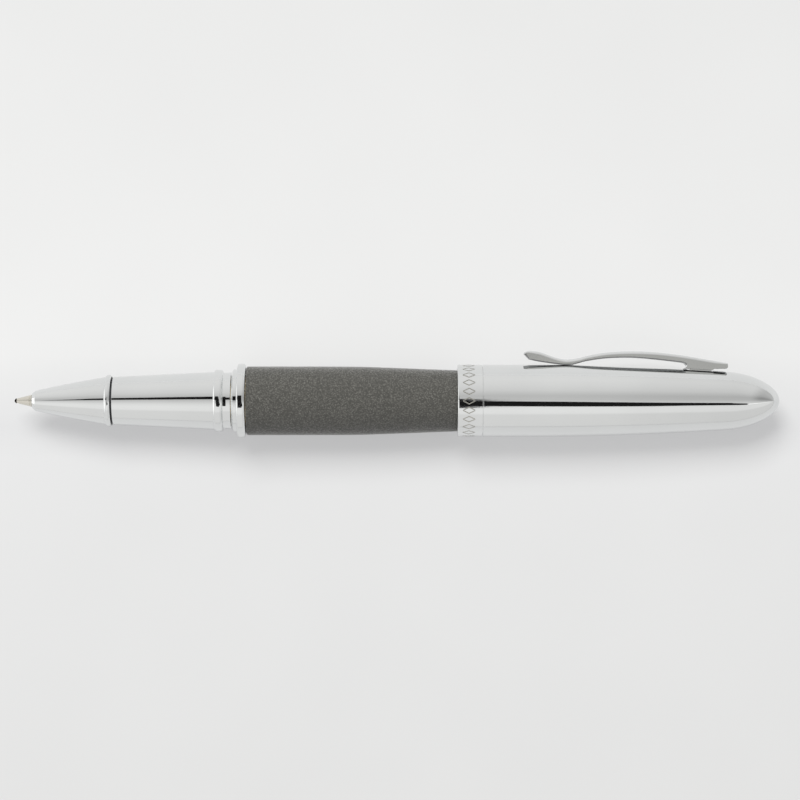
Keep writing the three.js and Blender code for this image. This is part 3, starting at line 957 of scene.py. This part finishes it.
def inner_cap():
    first, last = span("inner_cap")
    flange, mouth_r, body_r, seat_r, end_r = reach("inner_cap"), 3.75, 4.4, 2, 2.9
    outline = [
        (last - 1, 0, SMOOTH), (last - 1, seat_r, 0.3), (128, seat_r, 0.4), (124.6, mouth_r, 0.6),
        (first, mouth_r, 0.15), (first, flange, 0.15), (first + 1.5, flange, 0.15),
        (first + 1.5, body_r, 0.2), (126.2, body_r, 0.5), (129.5, end_r, 0.5), (last, end_r, 0.4),
        (last, 0, SMOOTH),
    ]
    finished(turned("inner_cap_fine", outline, COARSE), "inner_cap", BLACK)


# ---- clip ----
CLIP_HALF_WIDTH = 1.7
CLIP_WAIST = 0.35
CLIP_WAIST_AT = 112
RIVET_AT = 135
HOLLOW_END = 130
PLATE_TOP = 7  # height inside the root plate, where the lug begins
LUG_FROM, LUG_TO, LUG_FLOOR, LUG_HALF_WIDTH = 132.2, 136.6, 3.1, 1.05


def clip_half_width(station):
    along = (station - CLIP_WAIST_AT) / (RIVET_AT - CLIP_WAIST_AT)
    return CLIP_HALF_WIDTH - CLIP_WAIST * max(0, 1 - along ** 2) ** 2


def clip_outline():
    """The clip's side view: bow, foot, flared finger end and root plate."""
    tip, rear = span("pocket_clip")
    peak = (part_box("pocket_clip")[1].y - AXIS_Y) / MM
    corner_r, rear_corner = 0.35, 7.1
    back = [
        (rear - corner_r + corner_r * math.cos(a), rear_corner + corner_r * math.sin(a))
        for a in np.linspace(0, 0.4 * math.pi, 9)
    ]
    top = spline([
        back[-1], (131.5, 8.82), (126, 9.49), (121, 9.7), (116.5, 9.51), (113, 8.98), (110.5, 8.36),
        (108.3, 8.1), (106.4, 8.4), (104.6, 9), (102.8, 9.6), (100.9, peak), (tip + 0.15, 9.55),
    ])
    foot = spline([(100.9, 8.1), (102.6, 7.73), (105, 7.36), (107.4, 7.06), (109.4, 7.05)])
    bow = spline([
        (109.4, 7.05), (110.6, 7.38), (112.3, 7.8), (115.8, 8.3), (120, 8.45), (124, 8.24),
        (130.2, 7.55), (131.3, 7.3), (131.7, 6.85), (131.2, 6.42),
    ])
    plate = [(s, cap_bow(s) + 0.1) for s in np.linspace(131.1, 136.8, 12)]
    heel = [(137, 6.27), (rear - 0.3, 6.27)]

    def smooth(points):
        return [(s, min(h, peak), SMOOTH) for s, h in points]

    outline = [
        *smooth(back), *smooth(top[1:-1]), (*top[-1], 0.1), (tip, 9.2, 0.25), (*foot[0], 0.1),
        *smooth(foot[1:-1]), (*foot[-1], SHARP), *smooth(bow[1:-1]), (*bow[-1], SHARP),
        (*plate[0], SHARP), *smooth(plate[1:-1]), (*plate[-1], SHARP), (*heel[0], 0.05),
        (*heel[1], 0.1), (rear, 6.55, 0.1),
    ]
    return outline[::-1]


def pocket_clip():
    tip, rear = span("pocket_clip")
    width, depth, fade = 0.12, 0.16, 2.5

    def rim(station, height, slope):
        """Broad along the back, narrower towards the ends and below, and least at the root."""
        if height < PLATE_TOP and station > HOLLOW_END:
            return 0.05, 0.05
        if station < tip + 0.3:
            return 0.4, 0.3
        inside = max(0.0, min(1.0, (station - tip) / fade, (rear - station) / fade))
        if slope < 0:
            return width, depth - 0.06 * slope * inside
        return width + 0.28 * slope * inside, depth + 0.27 * slope * inside

    mesh = Mesh()
    slab(mesh, clip_outline(), clip_half_width, rim, crown=0.12)
    lug = [
        (LUG_FROM, LUG_FLOOR, 0.3), (LUG_FROM, PLATE_TOP, SHARP), (LUG_TO, PLATE_TOP, SHARP),
        (LUG_TO, LUG_FLOOR, 0.3),
    ]
    slab(mesh, lug, lambda station: LUG_HALF_WIDTH, lambda *_: (0.08, 0.08))
    # The third material, on the clip's underside, is a painted dark reflection.
    finished(mesh.piece("pocket_clip_fine"), "pocket_clip", CHROME, SATIN, UNDERSIDE)


# ---- stage ----
STUDIO_LEVEL = 1.14  # multiplies the tent's brightness below
CAMERA_HEIGHT = 0.530  # above the pen's axis, in metres
FLOOR_GLOW_HALF = 0.08  # the glow's stops run from minus this to this across the floor, in metres
# Painted light on the floor by its glow: the dip just under the pen's edge away from the clip is
# painted shadow, the rise just beyond that dip lightens the cast shadow, and the rise on the clip's
# side is painted light.
FLOOR_GLOW = [
    (0.0, (0.408, 0.407, 0.406)), (0.34, (0.418, 0.417, 0.418)), (0.42, (0.43, 0.429, 0.433)),
    (0.46, (0.4, 0.4, 0.407)), (0.55, (0.475, 0.474, 0.472)), (0.7, (0.45, 0.449, 0.447)),
    (1.0, (0.412, 0.411, 0.409)),
]
# The gap's two edges in a plane at height 1 over the pen: (along X, across Y) points. They were
# measured from the dark reflections on the photographed pen, and then adjusted.
GAP_TOP = [
    (-0.68, 0.03), (-0.62, 0.1), (-0.58, 0.14), (-0.543, 0.166), (-0.52, 0.215), (-0.214, 0.235),
    (-0.18, 0.305), (-0.055, 0.30), (0.0, 0.29), (0.015, 0.11), (0.031, 0.10), (0.034, -0.015),
    (0.04, -0.028), (0.088, -0.047), (0.141, -0.079), (0.19, -0.11), (0.255, -0.142),
    (0.305, -0.166), (0.46, -0.189), (0.707, -0.224), (0.76, -0.3),
]
GAP_BOTTOM = [
    (-0.68, 0.06), (-0.62, 0.05), (-0.58, 0.05), (-0.543, 0.06), (-0.214, 0.067), (-0.18, 0.108),
    (-0.07, 0.03), (-0.057, 0.03), (-0.052, -0.38), (0.02, -0.42), (0.031, -0.45),
    (0.034, -0.296), (0.04, -0.316), (0.113, -0.335), (0.19, -0.343), (0.23, -0.315),
    (0.46, -0.322), (0.707, -0.336), (0.76, -0.27),
]
GAP_SOFTNESS = 0.012  # half the width over which an edge fades, in the same plane
GAP_DARKNESS = 0.985  # share of the light that the gap takes away
# The tent's brightness by its lean across Y, in half turns from straight up, fitted to the shading
# of the photographed pen's chrome.
TENT = [
    (-0.75, 0.72), (-0.5, 0.7), (-0.46, 0.72), (-0.26, 0.73), (-0.22, 0.83), (-0.14, 0.84),
    (-0.08, 0.78), (0.02, 0.56), (0.09, 0.54), (0.19, 0.68), (0.29, 0.74), (0.39, 0.77),
    (0.46, 0.765), (0.5, 0.755), (0.75, 0.75),
]


def floor():
    """A wide card that looks pale by its own glow, painted light which varies in stripes along the
    pen.

    The card itself is mid grey, so that the glow sets most of its brightness.
    """
    half = 3.0
    mesh = bpy.data.meshes.new("floor")
    mesh.from_pydata([(-half, -half, 0), (half, -half, 0), (half, half, 0), (-half, half, 0)], [],
                     [(0, 1, 2, 3)])
    nodes = Nodes("card_with_painted_light")
    place = nodes.add("ShaderNodeTexCoord").outputs["Object"]
    across = nodes.add("ShaderNodeSeparateXYZ", {"Vector": place}).outputs["Y"]
    nodes.set(
        Base_Color=nodes.colour(
            nodes.grain(40.0), (0.3, (0.185, 0.187, 0.187)), (0.7, (0.192, 0.194, 0.194)),
        ),
        Roughness=0.9,
        Specular_IOR_Level=0.2,
        Emission_Color=nodes.colour(
            nodes.between(across, -FLOOR_GLOW_HALF, FLOOR_GLOW_HALF), *FLOOR_GLOW,
        ),
        Emission_Strength=1.0,
        Normal=nodes.bump(nodes.grain(0.3), 0.004),
    )
    mesh.materials.append(nodes.material)
    piece = bpy.data.objects.new("floor", mesh)
    bpy.context.scene.collection.objects.link(piece)


def studio_light():
    """A white tent with a dark gap overhead, through which the pen is seen."""
    world = bpy.data.worlds.new("studio")
    bpy.context.scene.world = world
    sky = Tree(world)
    calc = sky.math

    def step(value, low, high):
        """0 below low and 1 above high, with a soft change between."""
        return sky.between(value, low, high, interpolation_type="SMOOTHSTEP")

    def graph(value, points):
        """A curve through (value, result) points, straight between them."""
        (x0, x1), (y0, y1) = ((min(v), max(v)) for v in zip(*points))
        share = calc("DIVIDE", calc("SUBTRACT", value, x0), x1 - x0)
        node = sky.add("ShaderNodeFloatCurve", {"Value": share})
        node.mapping.extend = "HORIZONTAL"
        line = node.mapping.curves[0]
        shares = [((x - x0) / (x1 - x0), (y - y0) / (y1 - y0)) for x, y in points]
        for place in shares[1:-1]:
            line.points.new(*place)
        for point, place in zip(line.points, shares):
            point.location = place
            point.handle_type = "VECTOR"
        node.mapping.update()
        return calc("ADD", calc("MULTIPLY", node.outputs["Value"], y1 - y0), y0)

    def past(value, edge):
        """0 below an edge and 1 above it."""
        low, high = calc("SUBTRACT", edge, GAP_SOFTNESS), calc("ADD", edge, GAP_SOFTNESS)
        return step(value, low, high)

    place = sky.add("ShaderNodeTexCoord").outputs["Generated"]
    east, north, up = sky.add("ShaderNodeSeparateXYZ", {0: place}).outputs
    height = calc("MAXIMUM", up, 0.02)  # keeps the two quotients finite at the horizon
    along, across = calc("DIVIDE", east, height), calc("DIVIDE", north, height)

    past_top = past(across, graph(along, GAP_TOP))
    past_bottom = past(across, graph(along, GAP_BOTTOM))
    gap = calc("MULTIPLY", calc("SUBTRACT", past_bottom, past_top), step(up, 0.1, 0.3))

    lean = calc("DIVIDE", calc("ARCTAN2", north, up), math.pi)
    tent = graph(lean, TENT)
    front_panel = calc("MULTIPLY", step(calc("MULTIPLY", east, -1.0), 0.75, 0.95), 0.7)
    rear_corner = calc("MULTIPLY", step(east, 0.6, 0.85), step(north, -0.2, 0.2))
    rear_shade = calc(
        "ADD", calc("MULTIPLY", rear_corner, -0.2),
        calc("MULTIPLY", step(east, 0.08, 0.25), -0.06),
    )
    level = calc("ADD", tent, calc("ADD", front_panel, rear_shade))
    darkened = calc("MULTIPLY", gap, GAP_DARKNESS * STUDIO_LEVEL)
    shown = calc("SUBTRACT", STUDIO_LEVEL, darkened)
    background = sky.tree.nodes["Background"]
    sky.put(background.inputs["Color"], (1, 0.997, 0.985))
    sky.put(background.inputs["Strength"], calc("MULTIPLY", level, shown))


def key_light():
    """A large soft panel beyond the clip's side of the pen, kept out of its reflections."""
    light = bpy.data.lights.new("key", "AREA")
    light.shape = "SQUARE"
    light.size = 0.5
    light.energy = 20.5
    light.color = (1, 0.995, 0.985)
    lamp = bpy.data.objects.new("key", light)
    lamp.location = (-0.2, 0.56, 0.93)
    lamp.rotation_euler = (-lamp.location).to_track_quat("-Z", "Y").to_euler()
    lamp.visible_glossy = False
    bpy.context.scene.collection.objects.link(lamp)


def camera():
    """Straight above the pen."""
    lens = bpy.data.cameras.new("camera")
    lens.sensor_width = 36.0
    lens.angle = math.radians(16.84)
    lens.clip_start = 0.01
    viewer = bpy.data.objects.new("camera", lens)
    viewer.location = (0.0006, AXIS_Y + 0.000157, AXIS_Z + CAMERA_HEIGHT)
    bpy.context.scene.collection.objects.link(viewer)
    bpy.context.scene.camera = viewer


# ---- build ----
for make in (
    writing_ball, refill_tip, refill_nose, refill_tube, refill_end_plug, refill_spring,
    nose_cone, grip_tube, section_coupling,
    barrel_front_ring, barrel_thread_bush, leather_wrap, barrel_tube, barrel_end_cap,
    cap_band, cap_shell, cap_snap_ring, inner_cap, pocket_clip,
    floor, studio_light, key_light, camera,
):
    make()

for node, material in (
    ("ink_reservoir", FIBRE), ("feed_wick", FIBRE), ("clip_bracket", STEEL), ("clip_rivet", STEEL),
):
    materials = frame["nodes"][node].data.materials
    materials.clear()
    materials.append(material)

bpy.context.scene.view_settings.view_transform = "Standard"
